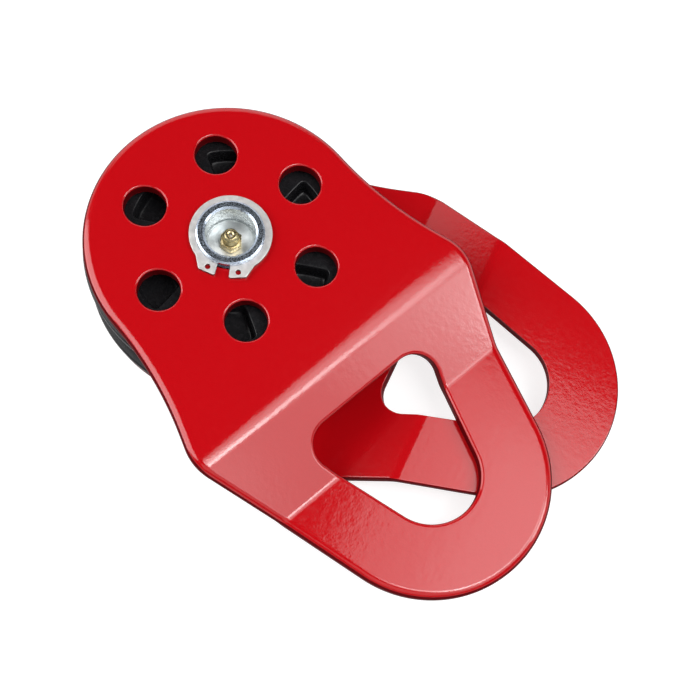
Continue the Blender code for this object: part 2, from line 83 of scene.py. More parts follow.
def build_piece(name, points, normals, faces, finishes=None):
    """A mesh object from points in millimetres, unit normals, and a list of face arrays.

    Points within a ten-thousandth of a millimetre are welded, and faces that shrink to a line go.
    finishes gives each face array the numbers of its faces' materials, all 0 if it is left out.
    """
    keys = np.round(points * SPOTS_PER_MM).astype(np.int64)
    _, first, inverse = np.unique(keys, axis=0, return_index=True, return_inverse=True)
    inverse = inverse.reshape(-1)
    polygons, finish_numbers = [], []
    for array, numbers in zip(faces, finishes or [np.zeros(len(a), int) for a in faces]):
        for face, number in zip(inverse[array].tolist(), numbers.tolist()):
            ring = [v for k, v in enumerate(face) if v != face[k - 1]]
            if len(set(ring)) == len(ring) and len(ring) > 2:
                polygons.append(ring)
                finish_numbers.append(number)
    mesh = bpy.data.meshes.new(name)
    mesh.from_pydata((points[first] * MM).tolist(), [], polygons)
    mesh.polygons.foreach_set("material_index", finish_numbers)
    mesh.validate()
    bm = bmesh.new()
    bm.from_mesh(mesh)
    volume = bm.calc_volume(signed=True)
    open_edges = sum(1 for e in bm.edges if len(e.link_faces) != 2)
    if volume < 0:
        bmesh.ops.reverse_faces(bm, faces=bm.faces)
        bm.to_mesh(mesh)
    bm.free()
    mesh.shade_smooth()
    if normals is not None:
        kept = normals[first]
        kept = kept / np.linalg.norm(kept, axis=1, keepdims=True)
        mesh.normals_split_custom_set_from_vertices(kept.tolist())
    piece = bpy.data.objects.new(name, mesh)
    scene.collection.objects.link(piece)
    print(f"{name}: {len(mesh.polygons)} faces, {abs(volume):.2e} m3, {open_edges} open edges")
    return piece


# %% [markdown]
# ## Arcs and corners
#
# The tools that cut such parts follow straight lines and arcs. A rounded polyline gives both: each
# corner is replaced by an arc that touches its two sides. Curve objects could draw the same
# outlines, but here every later step needs them as arrays of points.

# %% Outline helpers


def arc(centre, radius, start, end, step):
    """Points on a circle between two angles in radians, about one step (in mm) apart."""
    count = max(3, int(math.ceil(abs(end - start) * radius / step)) + 1)
    angles = np.linspace(start, end, count)
    x = centre[0] + radius * np.cos(angles)
    y = centre[1] + radius * np.sin(angles)
    return np.stack([x, y], axis=1)


def line(a, b, step):
    """Points from a to b, both included, about one step apart."""
    a, b = np.asarray(a, float), np.asarray(b, float)
    count = max(2, int(math.ceil(np.linalg.norm(b - a) / step)) + 1)
    t = np.linspace(0, 1, count)[:, None]
    return a + (b - a) * t


def corner_arc(before, corner, after, radius, step):
    """The arc that rounds a corner: it touches both sides, with its centre on their bisector."""
    before, corner, after = (np.asarray(p, float) for p in (before, corner, after))
    u = before - corner
    v = after - corner
    angle_u = math.atan2(u[1], u[0])
    half = (math.atan2(v[1], v[0]) - angle_u + math.pi) % (2 * math.pi) - math.pi
    reach = radius / math.sin(abs(half) / 2)
    middle = angle_u + half / 2
    centre = corner + reach * np.array([math.cos(middle), math.sin(middle)])
    start = angle_u - math.copysign(math.pi / 2, half)
    sweep = math.copysign(math.pi - abs(half), half)
    return arc(centre, radius, start, start - sweep, step)


def evenly(points, step):
    """The closed polyline resampled at equal distances along its length, about one step apart."""
    loop = np.vstack([points, points[:1]])
    lengths = np.linalg.norm(np.diff(loop, axis=0), axis=1)
    real = lengths > 1e-7
    loop = loop[np.concatenate([[True], real])]
    along = np.concatenate([[0], np.cumsum(lengths[real])])
    count = max(12, int(round(along[-1] / step)))
    t = np.linspace(0, along[-1], count, endpoint=False)
    return np.stack([np.interp(t, along, loop[:, 0]), np.interp(t, along, loop[:, 1])], axis=1)


def side_normals(loop, outward=1.0):
    """Unit normals of a closed loop, at right angles to the chord between each point's neighbours.

    outward is 1 where the normal points away from the loop's middle, and -1 for a hole's wall.
    """
    chord = np.roll(loop, -1, axis=0) - np.roll(loop, 1, axis=0)
    normal = np.stack([chord[:, 1], -chord[:, 0]], axis=1)
    normal /= np.linalg.norm(normal, axis=1, keepdims=True)
    x, y = loop[:, 0], loop[:, 1]
    area = 0.5 * np.sum(x * np.roll(y, -1) - np.roll(x, -1) * y)
    return normal * outward * np.sign(area)


# %% [markdown]
# ## Profiles and turning
#
# A lathe tool leaves straight cuts with small rounded corners, so a turned piece starts as a
# polyline with rounded corners, whose normal is known at each point. It is then carried round the
# axle. A screw modifier on a curve would turn it too, but the worked-out normals keep the
# reflections on narrow chamfers clean.

# %% Turning helpers


def left_normal(a, b):
    """The unit normal on the left of the run from a to b."""
    run = (b - a) / np.linalg.norm(b - a)
    return np.array([-run[1], run[0]])


def rounded_profile(corners, radii, segments=5):
    """A profile and its normals: straight runs whose corners are rounded, left side out.

    Each corner's arc starts and ends where it touches the straight runs, so the normal there is
    that of the run. The first and last points stay as they are.
    """
    corners = [np.asarray(c, float) for c in corners]
    points, normals = [corners[0]], [left_normal(corners[0], corners[1])]
    for before, corner, after, radius in zip(corners, corners[1:], corners[2:], radii):
        a = (corner - before) / np.linalg.norm(corner - before)
        b = (after - corner) / np.linalg.norm(after - corner)
        turn = math.atan2(a[0] * b[1] - a[1] * b[0], float(a @ b))
        setback = radius * math.tan(abs(turn) / 2)
        normal_a = np.array([-a[1], a[0]])
        start = corner - a * setback
        centre = start + normal_a * math.copysign(radius, turn)
        x, y = normal_a
        for k in range(segments + 1):
            swing = turn * k / segments
            c, s = math.cos(swing), math.sin(swing)
            normal = np.array([c * x - s * y, s * x + c * y])
            points.append(centre - normal * math.copysign(radius, turn))
            normals.append(normal)
    points.append(corners[-1])
    normals.append(left_normal(corners[-2], corners[-1]))
    return np.array(points), np.array(normals)


def turned_piece(name, profile, profile_normals, steps, closed=True, bored=None):
    """A profile of (radius, height) turned about the axle: x = r cos u, y = r sin u, z = h.

    bored gives for each step of the profile the number of its faces' material.
    """
    u = np.linspace(0, 2 * math.pi, steps, endpoint=False)[None, :]
    r, z = profile[:, 0:1], profile[:, 1:2]
    nr, nz = profile_normals[:, 0:1], profile_normals[:, 1:2]
    points = np.stack([r * np.cos(u), r * np.sin(u), z + 0 * u], axis=-1)
    normals = np.stack([nr * np.cos(u), nr * np.sin(u), nz + 0 * u], axis=-1)
    faces = grid_faces(len(profile), steps, close_rows=closed, close_columns=True)
    finishes = None if bored is None else [np.repeat(bored, steps)]
    return build_piece(name, points.reshape(-1, 3), normals.reshape(-1, 3), [faces], finishes)


# %% [markdown]
# ## The side plate as a flat blank
#
# A real side plate is punched flat from sheet steel and then bent twice in a press brake, which
# gives the step, or joggle, that brings the two shackle eyes together. It is modelled in the same
# order: first the outline and the holes on the flat, then the edge, then the two bends. The sizes
# are those of the CAD part, except that both bends are rounded a little differently here.

# %% Bend lines and the unfolded blank
PLATE_T = 5.0
BEND_1_AT = 59.1            # where the two bend lines lie on the bent plate, from the axle
BEND_2_AT = 90.8
BEND_1_R = 18.0             # bend radii at the middle of the sheet's thickness
BEND_2_R = 9.5
BAIL_DROP = 12.35           # how far the bail lies below the head

BEND_ANGLE = math.atan2(BAIL_DROP, BEND_2_AT - BEND_1_AT)
SETBACK_1 = BEND_1_R * math.tan(BEND_ANGLE / 2)
SETBACK_2 = BEND_2_R * math.tan(BEND_ANGLE / 2)
WEB_LENGTH = math.hypot(BAIL_DROP, BEND_2_AT - BEND_1_AT) - SETBACK_1 - SETBACK_2
BEND_1 = (BEND_1_AT - SETBACK_1, BEND_1_AT - SETBACK_1 + BEND_1_R * BEND_ANGLE)
BEND_2 = (BEND_1[1] + WEB_LENGTH, BEND_1[1] + WEB_LENGTH + BEND_2_R * BEND_ANGLE)
print(f"web {WEB_LENGTH:.1f} mm long between the bends")


def unfold(x):
    """Where a place that lies x from the axle on the bent plate lies on the flat blank."""
    web_start = BEND_1_AT + SETBACK_1 * math.cos(BEND_ANGLE)
    web_end = BEND_2_AT - SETBACK_2 * math.cos(BEND_ANGLE)
    if x < web_end:
        return BEND_1[1] + (x - web_start) / math.cos(BEND_ANGLE)
    return BEND_2[1] + x - (BEND_2_AT + SETBACK_2)


# %% [markdown]
# ## The plate's outlines
#
# Head, shoulders and bail make one outline, and the shackle eye another. Each is the same above
# and below its middle line, so only the upper half is drawn, and the rest is its mirror image.
# Where a straight side runs into a round end, it touches the circle without a corner.

# %% Outlines
HEAD_R = 53.0
FLARE_R = 140.0             # hollow curve from the head out to the shoulder
FLARE_END = 45.0            # where the hollow curve turns straight
SHOULDER_AT = 57.5
SHOULDER_R = 21.0
WAIST_HALF_W = 52.6         # half width where the web meets the bail
WAIST_R = 120.0
BAIL_AT = 112.0             # centre of the bail's round end and of the eye's
BAIL_R = 45.0
EYE_END_R = 18.3
EYE_BASE_AT = 73.0
EYE_BASE_HALF_W = 31.3
EYE_CORNER_R = 9.6


def touch(point, centre, radius):
    """Where the line from an outside point touches a circle's upper half: its angle and place.

    The angle is the direction to the point less the arc cosine of radius over distance.
    """
    dx, dy = point[0] - centre[0], point[1] - centre[1]
    angle = math.atan2(dy, dx) - math.acos(radius / math.hypot(dx, dy))
    return angle, (centre[0] + radius * math.cos(angle), centre[1] + radius * math.sin(angle))


def both_halves(half):
    """The upper half of an outline, then its mirror image back to the start."""
    return np.vstack([half, half[-2:0:-1] * [1, -1]])


def blank_outline(step):
    """Head, hollow flare, shoulder, waist and round bail, as arcs and straight runs."""
    rise = FLARE_R - math.sqrt(FLARE_R**2 - FLARE_END**2)
    slope = FLARE_END / (FLARE_R - rise)
    flare_stop = math.atan(slope) - math.pi / 2
    flare = arc((0, HEAD_R + FLARE_R), FLARE_R, -math.pi / 2, flare_stop, step)
    shoulder = (SHOULDER_AT, HEAD_R + rise + slope * (SHOULDER_AT - FLARE_END))
    waist = (unfold(BEND_2_AT), WAIST_HALF_W)
    bail = (unfold(BAIL_AT), 0.0)
    angle, landing = touch(waist, bail, BAIL_R)
    half = np.vstack([
        arc((0, 0), HEAD_R, math.pi, math.pi / 2, step),
        flare[1:],
        corner_arc(flare[-1], shoulder, waist, SHOULDER_R, step),
        corner_arc(shoulder, waist, landing, WAIST_R, step),
        arc(bail, BAIL_R, angle, 0.0, step),
    ])
    return both_halves(half)


def eye_outline(step):
    """The shackle eye: a triangle with round corners, and a round end about the bail's centre."""
    centre = (unfold(BAIL_AT), 0.0)
    base = (unfold(EYE_BASE_AT), 0.0)
    corner = (base[0], EYE_BASE_HALF_W)
    angle, landing = touch(corner, centre, EYE_END_R)
    half = np.vstack([
        [base],
        corner_arc(base, corner, landing, EYE_CORNER_R, step),
        arc(centre, EYE_END_R, angle, 0.0, step),
    ])
    return both_halves(half)


def circle(centre, radius, step):
    """A full circle, without its repeated last point."""
    return arc(centre, radius, 0, 2 * math.pi, step)[:-1]


print(f"blank {unfold(BAIL_AT) + BAIL_R + HEAD_R:.1f} mm long")

# %% [markdown]
# ## Filling the flat faces
#
# A sheet's two faces are flat areas with holes in them. One many-sided face would do for a plate
# that stays flat, but this one is bent, so its faces need points inside as well. They are filled
# with triangles between the outlines, through rows of points that are close along each bend. The
# extra points keep clear of the outlines, where they would only make slivers.

# %% Fill between outlines
INSIDE_WITH_HOLES = 2
SAME_POINT = 1e-5


def inside(points, loops):
    """True where a point lies inside an odd number of the closed loops."""
    odd = np.zeros(len(points), bool)
    x, y = points[:, 0:1], points[:, 1:2]
    for loop in loops:
        x1, y1 = loop[:, 0], loop[:, 1]
        x2, y2 = np.roll(x1, -1), np.roll(y1, -1)
        crosses = ((y1 > y) != (y2 > y)) & (x < (x2 - x1) * (y - y1) / (y2 - y1 + 1e-12) + x1)
        odd ^= crosses.sum(axis=1) % 2 == 1
    return odd


def far_from(points, loops, gap):
    """True where a point lies further than the gap from every point of the loops."""
    every = np.vstack(loops)
    distance = np.min(np.linalg.norm(points[:, None, :] - every[None, :, :], axis=2), axis=1)
    return distance > gap


def fill_between(loops, extra):
    """Triangles that fill the area between an outline and its holes, through extra points."""
    points = np.vstack(loops + [extra])
    edges, start = [], 0
    for loop in loops:
        index = np.arange(len(loop)) + start
        edges += np.stack([index, np.roll(index, -1)], axis=1).tolist()
        start += len(loop)
    _, _, faces, origin, _, _ = delaunay_2d_cdt(
        [Vector(p) for p in points], edges, [], INSIDE_WITH_HOLES, SAME_POINT)
    source = np.array([o[0] for o in origin])
    triangles = source[np.array(faces)]
    triangles = triangles[inside(points[triangles].mean(axis=1), loops)]
    a, b, c = (points[triangles[:, k]] for k in range(3))
    turn = (b[:, 0] - a[:, 0]) * (c[:, 1] - a[:, 1]) - (b[:, 1] - a[:, 1]) * (c[:, 0] - a[:, 0])
    triangles[turn < 0] = triangles[turn < 0][:, ::-1]
    return points, triangles


# %% [markdown]
# ## Punched edges
#
# A punch draws the sheet over where it goes in, cuts a short wall, and leaves the other side
# nearly square. So the edge is one profile carried along each outline: a quarter of an ellipse,
# the wall, and a small quarter circle. It could be a bevel on a plain slab, but a bevel is round
# both ways, and the broad soft roll is what catches the light on such plates. A sheet is then the
# walls along all its outlines and the two faces between them.

# %% Sheet metal from outlines
CLEAR_OF_RIM = 0.45


def edge_profile(thickness, roll_w, roll_h, burr, shaded_from=40.0, shaded_to=92.0,
                 lip=0.2, segments=12):
    """The edge of a punched sheet: (distance past the wall, height), normals and shaded steps.

    The face that the punch meets is drawn over in a quarter ellipse, and the other face keeps a
    small quarter circle. A point of the ellipse is (w sin t - w, h cos t - h) from its corner,
    and its normal is (sin t / w, cos t / h) made one long. The steps whose normal leans from
    shaded_from to shaded_to degrees off the punched face's own normal are marked as the steep wall,
    which takes painted shade.
    """
    top = thickness / 2
    t = np.linspace(0, math.pi / 2, segments)
    rolled = np.stack([roll_w * (np.sin(t) - 1), top + roll_h * (np.cos(t) - 1)], axis=1)
    rolled_normal = np.stack([np.sin(t) / roll_w, np.cos(t) / roll_h], axis=1)
    rolled_normal /= np.linalg.norm(rolled_normal, axis=1, keepdims=True)
    square = np.stack([burr * (np.cos(t) - 1), burr - top - burr * np.sin(t)], axis=1)
    square_normal = np.stack([np.cos(t), -np.sin(t)], axis=1)
    points = np.vstack([[-roll_w - lip, top], rolled, square, [-burr - lip, -top]])
    normals = np.vstack([[0, 1], rolled_normal, square_normal, [0, -1]])
    tilt = np.degrees(np.arccos(np.clip((normals[1:, 1] + normals[:-1, 1]) / 2, -1, 1)))
    return points, normals, (tilt > shaded_from) & (tilt < shaded_to)


def sheet_metal(name, loops, edges, extra, form):
    """A sheet with holes: each loop's wall is its edge profile swept along it.

    A point of the wall is loop + normal * distance, at the profile's height. form takes arrays of
    blank coordinates (s, y, n) and normals, and returns where the forming tool puts them. The
    marked steps of each profile take the second material, a dark finish that is painted shade.
    """
    all_points, all_normals, faces, finishes, start = [], [], [], [], 0
    tops, bottoms = [], []
    for number, (loop, (profile, profile_normals, torn_and_shaded)) in enumerate(zip(loops, edges)):
        out = side_normals(loop, 1.0 if number == 0 else -1.0)
        flat = loop[:, None, :] + out[:, None, :] * profile[None, :, 0:1]
        height = np.broadcast_to(profile[None, :, 1:2], flat.shape[:2] + (1,))
        across = out[:, None, :] * profile_normals[None, :, 0:1]
        upward = np.broadcast_to(profile_normals[None, :, 1:2], height.shape)
        all_points.append(np.concatenate([flat, height], axis=2).reshape(-1, 3))
        all_normals.append(np.concatenate([across, upward], axis=2).reshape(-1, 3))
        quads = grid_faces(len(loop), len(profile), close_rows=True, start=start)
        area = np.sum(loop[:, 0] * np.roll(loop[:, 1], -1) - np.roll(loop[:, 0], -1) * loop[:, 1])
        faces.append(quads[:, ::-1] if (area > 0) == (number == 0) else quads)
        finishes.append(np.tile(torn_and_shaded, len(loop)).astype(int))
        start += len(loop) * len(profile)
        tops.append(flat[:, 0])
        bottoms.append(flat[:, -1])
    for rims, height, side in ((tops, edges[0][0][0, 1], 1), (bottoms, edges[0][0][-1, 1], -1)):
        free = extra[inside(extra, rims)]
        free = free[far_from(free, rims, CLEAR_OF_RIM)]
        points, triangles = fill_between(rims, free)
        all_points.append(np.column_stack([points, np.full(len(points), height)]))
        all_normals.append(np.tile([0.0, 0.0, float(side)], (len(points), 1)))
        faces.append((triangles if side > 0 else triangles[:, ::-1]) + start)
        finishes.append(np.zeros(len(triangles), int))
        start += len(points)
    points, normals = form(np.vstack(all_points), np.vstack(all_normals))
    return build_piece(name, points, normals, faces, finishes)


# %% [markdown]
# ## The press brake
#
# The brake presses the flat blank over along two straight lines. A modifier could bend a mesh as
# well, but the brake's own formula carries every point and its normal from the blank to the bent
# plate, so the sheet keeps its length and its thickness, and light runs smoothly over both bends.

# %% Bend the blank
BEND_1_TAPER = 0.09         # how much the first bend's radius grows per millimetre across
TAPER_TO = 58               # how far from the middle line it goes on growing
DRAWN_W = 5.0               # width of the flat face that the die draws down, and its lean
DRAWN_TILT = math.radians(1.2)
GRID_X = (-54, 170)         # a box round the blank, for the points inside its faces
GRID_Y = (-64, 65)
GRID_STEP = 4.0
BEND_1_ROWS = 34            # rows of points across each bend
BEND_2_ROWS = 15


def press(points, normals):
    """The two bends. Along the blank, the sheet's direction turns down by the press angle over
    the first bend's length, runs straight, and turns back over the second bend's length.

    With t the sheet's slope at s, the mid-surface is the running sum of (cos t, -sin t), and a
    point n above it moves along the sheet's normal (sin t, cos t). The first bend is a little
    rounder at one end than at the other. Beside it the die draws the flat face down, by less
    than the paint is thick over a few millimetres, so only the normals there lean.
    """
    s, y, n = points.T
    radius_1 = BEND_1_R + BEND_1_TAPER * np.clip(y, -TAPER_TO, TAPER_TO)
    start_1 = BEND_1_AT - radius_1 * math.tan(BEND_ANGLE / 2)
    end_1 = start_1 + radius_1 * BEND_ANGLE
    in_1 = np.clip((s - start_1) / radius_1, 0, BEND_ANGLE)
    in_2 = np.clip((s - BEND_2[0]) / BEND_2_R, 0, BEND_ANGLE)
    web = np.clip(s - end_1, 0, BEND_2[0] - end_1)
    turn = in_1 - in_2
    c, d = math.cos(BEND_ANGLE), math.sin(BEND_ANGLE)
    x = np.minimum(s, start_1) + radius_1 * np.sin(in_1) + web * c
    x += BEND_2_R * (d - np.sin(BEND_ANGLE - in_2)) + np.clip(s - BEND_2[1], 0, None)
    z = -radius_1 * (1 - np.cos(in_1)) - web * d - BEND_2_R * (np.cos(BEND_ANGLE - in_2) - c)
    moved = np.stack([x + n * np.sin(turn), y, z + n * np.cos(turn)], axis=1)
    drawn = np.clip((s - start_1) / DRAWN_W + 1, 0, 1) * np.clip(1 - in_1 / BEND_ANGLE, 0, 1)
    turn = turn + DRAWN_TILT * drawn**2
    a, b = normals[:, 0], normals[:, 2]
    tilted = np.stack([a * np.cos(turn) + b * np.sin(turn), normals[:, 1],
                       b * np.cos(turn) - a * np.sin(turn)], axis=1)
    return moved, tilted


def blank_rows(step):
    """Points across the blank: a coarse grid, with close rows along each bend."""
    coarse = np.arange(*GRID_X, step)
    widest = BEND_1_R + TAPER_TO * BEND_1_TAPER
    first = BEND_1_AT - widest * math.tan(BEND_ANGLE / 2)
    close = [(first - DRAWN_W, first + widest * BEND_ANGLE, BEND_1_ROWS), (*BEND_2, BEND_2_ROWS)]
    for low, high, _ in close:
        coarse = coarse[(coarse < low - 1) | (coarse > high + 1)]
    rows = np.concatenate([coarse] + [np.linspace(low, high, count) for low, high, count in close])
    s, y = np.meshgrid(rows, np.arange(*GRID_Y, step), indexing="ij")
    return np.stack([s.ravel(), y.ravel()], axis=1)


rows = blank_rows(GRID_STEP)
print(f"press angle {math.degrees(BEND_ANGLE):.1f} degrees, {len(rows)} points across the blank")

# %% [markdown]
# ## The two side plates
#
# Both plates are the same pressing. The upper one faces up and is swung open about the axle. The
# lower one is turned over, and its bore is countersunk so that the axle's head lies flush. The
# outline is rolled over most, the eye and the windows less, because smaller punches cut them.

# %% Make the plates
BORE_R = 12.88
WINDOW_R = 7.75
WINDOW_PITCH_R = 33.0
WINDOW_ANGLES = np.radians(np.arange(30, 390, 60))
SINK_W = 3.52
SINK_DEPTH = 3.07
SWING = math.radians(-24.3)
UPPER_PLATE_Z = 30.0


def side_plate(name, bore_edge, place):
    """One pressed plate; place carries it from its own drawing to its spot on the block."""
    # The marked steps of each edge take painted shade; on the outline they reach into the square
    # edge.
    rim = edge_profile(PLATE_T, roll_w=3.2, roll_h=2.4, burr=0.8, shaded_to=158)
    eye_rim = edge_profile(PLATE_T, roll_w=1.4, roll_h=1.2, burr=0.3, shaded_from=50)
    window_rim = edge_profile(PLATE_T, roll_w=0.8, roll_h=0.8, burr=0.4, shaded_from=75)
    outline = evenly(blank_outline(step=0.2), step=0.5)
    eye = evenly(eye_outline(step=0.15), step=0.45)
    bore = circle((0, 0), BORE_R, step=0.6)
    centres = [(WINDOW_PITCH_R * math.cos(a), WINDOW_PITCH_R * math.sin(a)) for a in WINDOW_ANGLES]
    windows = [circle(centre, WINDOW_R, step=0.5) for centre in centres]
    loops = [outline, eye, bore] + windows
    edges = [rim, eye_rim, bore_edge] + [window_rim] * len(windows)
    return sheet_metal(name, loops, edges, rows, lambda p, n: place(*press(p, n)))


def swung(angle, height):
    """Gives a placing that turns a sheet about the axle and lifts its middle to a height."""
    c, s = math.cos(angle), math.sin(angle)
    turn = np.array([[c, s, 0], [-s, c, 0], [0, 0, 1]])
    return lambda points, normals: (points @ turn + [0, 0, height], normals @ turn)


def turned_over(points, normals):
    """Turns the plate over about its length, so that its outer face lies on the table."""
    over = np.array([1, -1, -1])
    return points * over + [0, 0, PLATE_T / 2], normals * over


top = PLATE_T / 2
plain_bore = edge_profile(PLATE_T, 0.25, 0.25, 0.25)
sink_corners = [(-3.9, top), (-SINK_W, top), (0, top - SINK_DEPTH), (0, -top), (-1.5, -top)]
sink = rounded_profile(sink_corners, [0.25, 0.4, 1.3])
sink = (*sink, np.zeros(len(sink[0]) - 1, bool))
upper_plate = side_plate("upper_plate_painted", plain_bore, swung(SWING, UPPER_PLATE_Z + top))
lower_plate = side_plate("lower_plate_painted", sink, turned_over)

# %% [markdown]
# ## The sheave
#
# The sheave is a cast wheel. Its rim has a round groove for the rope, and each side has six
# pockets between radial ribs, which show through the plates' windows. The wheel is one closed
# grid: one direction walks its cross-section from the bore round the rim and back, and the other
# goes round the axle. Boolean cuts could sink the pockets into a plain wheel, but their rounded
# edges would have to be added afterwards. Here the pockets are a depth taken off the side faces.

# %% The pockets between the ribs
HUB_R = 23.5
POCKET_OUTER_R = 37.8
POCKET_DEPTH = 6.5
POCKET_CORNER_R = 2.5
RIB_HALF_W = 3.2


def pocket_depth(r, swing):
    """How deep the side face lies at a radius and an angle from the nearest rib's middle.

    The distance inside the pocket is the least of three: past the rib's side, past the hub, and
    short of the rim, with rounded corners where two of them meet. The depth grows with it
    through a rounded edge, a steep wall and a fillet at the floor.
    """
    past_rib = r * np.sin(np.abs(swing)) - RIB_HALF_W
    past = np.stack(np.broadcast_arrays(past_rib, r - HUB_R, POCKET_OUTER_R - r))
    least = np.min(past, axis=0)
    short = np.clip(POCKET_CORNER_R - past, 0, None)
    rounded = POCKET_CORNER_R - np.sqrt(np.sum(short**2, axis=0))
    distance = np.where(least > POCKET_CORNER_R, least, rounded)
    inwards = [-0.5, -0.25, -0.05, 0.12, 0.5, 0.7, 1.0, 1.5]
    edge = [0.0, 0.05, 0.25, 0.8]
    floor = [0.86 * POCKET_DEPTH, 0.94 * POCKET_DEPTH, 0.985 * POCKET_DEPTH, POCKET_DEPTH]
    return np.interp(distance, inwards, edge + floor)


print(f"pockets {POCKET_DEPTH} mm deep between ribs {2 * RIB_HALF_W} mm wide")

# %% [markdown]
# ## The sheave's section and mesh
#
# The section goes out over the lower side face, round the rim, through the rope's groove, back
# over the upper side face, and through the bore. Its points are close together where a pocket
# begins or ends. Round the axle, the columns follow the ribs' straight sides and are close
# together beside them, so that the ribs' edges come out crisp.

# %% Make the sheave
SHEAVE_Z = 7.1
SHEAVE_W = 20.8
SHEAVE_R = 53.8
SHEAVE_BORE_R = 15.78
GROOVE_R = 5.5
GROOVE_CENTRE_R = 46.5
FLANK_DEG = 20              # how far each flank of the groove leans outwards
RIM_EDGE_R = 1.2
RIB_COUNT = 6
RIB_PHASE = math.radians(15.5)


def sheave_swings(r):
    """Angles from a rib's middle out to half-way to the next: fixed distances, then even shares.

    The angle of a column that runs straight at a distance d beside the rib is arcsin(d / r).
    """
    across = np.array([0, 1.3, 2.3, 2.75, 2.95, 3.15, 3.32, 3.5, 3.7, 3.95, 4.3, 4.9])
    near = np.arcsin(np.clip(across[None, :] / r[:, None], 0, 0.95))
    share = np.linspace(0, 1, 9)[None, 1:]
    far = near[:, -1:] + (math.pi / 6 - near[:, -1:]) * share
    half = np.concatenate([near, far], axis=1)
    return np.concatenate([-half[:, :0:-1], half[:, :-1]], axis=1)


def sheave_section():
    """The cross-section as rows of (radius, height, side): side is -1 or 1 on the side faces."""
    def band(at, sign):
        return at + sign * np.array([-0.6, -0.4, -0.2, 0.0, 0.12, 0.3, 0.5, 0.7, 1.0, 1.5])
    radii = np.concatenate([
        [SHEAVE_BORE_R + 0.5, 18.0, 21.0], band(HUB_R, 1),
        [26.5, 28.5, 30.6, 32.6, 34.6], band(POCKET_OUTER_R, -1)[::-1],
        [40.0, 43.0, 46.5, SHEAVE_R - 1.5, SHEAVE_R - 1.3, SHEAVE_R - RIM_EDGE_R],
    ])
    rim_centre = (SHEAVE_R - RIM_EDGE_R, RIM_EDGE_R)
    rim = arc(rim_centre, RIM_EDGE_R, -math.pi / 2, math.radians(90 - FLANK_DEG), step=0.35)[1:]
    mouth = GROOVE_R + (rim[-1, 0] - GROOVE_CENTRE_R) * math.tan(math.radians(FLANK_DEG))
    flank = line(rim[-1], (rim[-1, 0], SHEAVE_W / 2 - mouth), step=0.5)[1:]
    groove = arc((GROOVE_CENTRE_R, SHEAVE_W / 2), GROOVE_R, -math.radians(90 - FLANK_DEG),
                 -math.radians(270 + FLANK_DEG), step=0.6)
    lower = [(r, 0.0, -1) for r in radii] + [(r, z, 0) for r, z in np.vstack([rim, flank])]
    middle = [(r, z, 0) for r, z in groove]
    upper = [(r, SHEAVE_W - z, -side) for r, z, side in reversed(lower)]
    bore = [(SHEAVE_BORE_R + 0.15, SHEAVE_W - 0.15, 0), (SHEAVE_BORE_R, SHEAVE_W - 0.5, 0)]
    bore += [(SHEAVE_BORE_R, z, 0) for z in np.linspace(SHEAVE_W - 3, 3, 5)]
    bore += [(SHEAVE_BORE_R, 0.5, 0), (SHEAVE_BORE_R + 0.15, 0.15, 0)]
    return np.array(lower + middle + upper + bore)


def make_sheave(name):
    """x = r cos a, y = r sin a, z = section height, plus or minus the pocket's depth."""
    r, z, side = sheave_section().T
    swing = sheave_swings(r)
    depth = pocket_depth(r[:, None], swing) * (side[:, None] != 0)
    height = z[:, None] - side[:, None] * depth
    ribs = RIB_PHASE + np.arange(RIB_COUNT) * math.pi / 3
    angle = (swing[:, None, :] + ribs[None, :, None]).reshape(len(r), -1)
    height = np.broadcast_to(height[:, None, :], (len(r), RIB_COUNT, swing.shape[1]))
    height = height.reshape(len(r), -1)
    radius = r[:, None]
    points = np.stack([radius * np.cos(angle), radius * np.sin(angle), height + SHEAVE_Z], axis=-1)
    faces = grid_faces(len(r), angle.shape[1], close_rows=True, close_columns=True)
    return build_piece(name, points.reshape(-1, 3), None, [faces])


sheave = make_sheave("sheave_cast")

# %% [markdown]
# ## Turned pieces: axle, bush and thrust washers
#
# These come off a lathe, so each is one profile turned about the axle. The axle is hollow at its
# free end: a cup shelters the grease nipple, and a narrow way below it takes the grease down to
# the bush. The cup's mouth is chamfered, and the boring tool leaves a small undercut round its
# floor. The other end is a countersunk head that lies flush in the lower plate. The cup's floor
# and wall are marked on the profile, because they get finishes of their own.

# %% Make the turned pieces
AXLE_R = 12.5
AXLE_END_Z = 38.5
AXLE_HEAD_R = 15.6
AXLE_HEAD_T = 3.0
CUP_FLOOR_Z = 28.5
CUP_R = 9.2
UNDERCUT = 0.45
GREASE_WAY_R = 1.5
SOCKET_R = 3.3
RING_SEAT_R = AXLE_R - 0.85
RING_SEAT_LOW, RING_SEAT_HIGH = 35.0, 36.8
BUSH_R = 15.48
WASHER_R = 20.0
WASHER_T = 1.5
LOWER_WASHER_Z = 5.3
UPPER_WASHER_Z = 28.2


def ring_profile(outer, low, thickness, edge):
    """A ring on the axle as a section: top, outer side, bottom and bore, with rounded edges."""
    high = low + thickness
    middle = (BORE_R + outer) / 2
    corners = [(middle, high), (outer, high), (outer, low), (BORE_R, low), (BORE_R, high)]
    corners.append(corners[0])
    return rounded_profile(corners, [edge] * 4, 3)


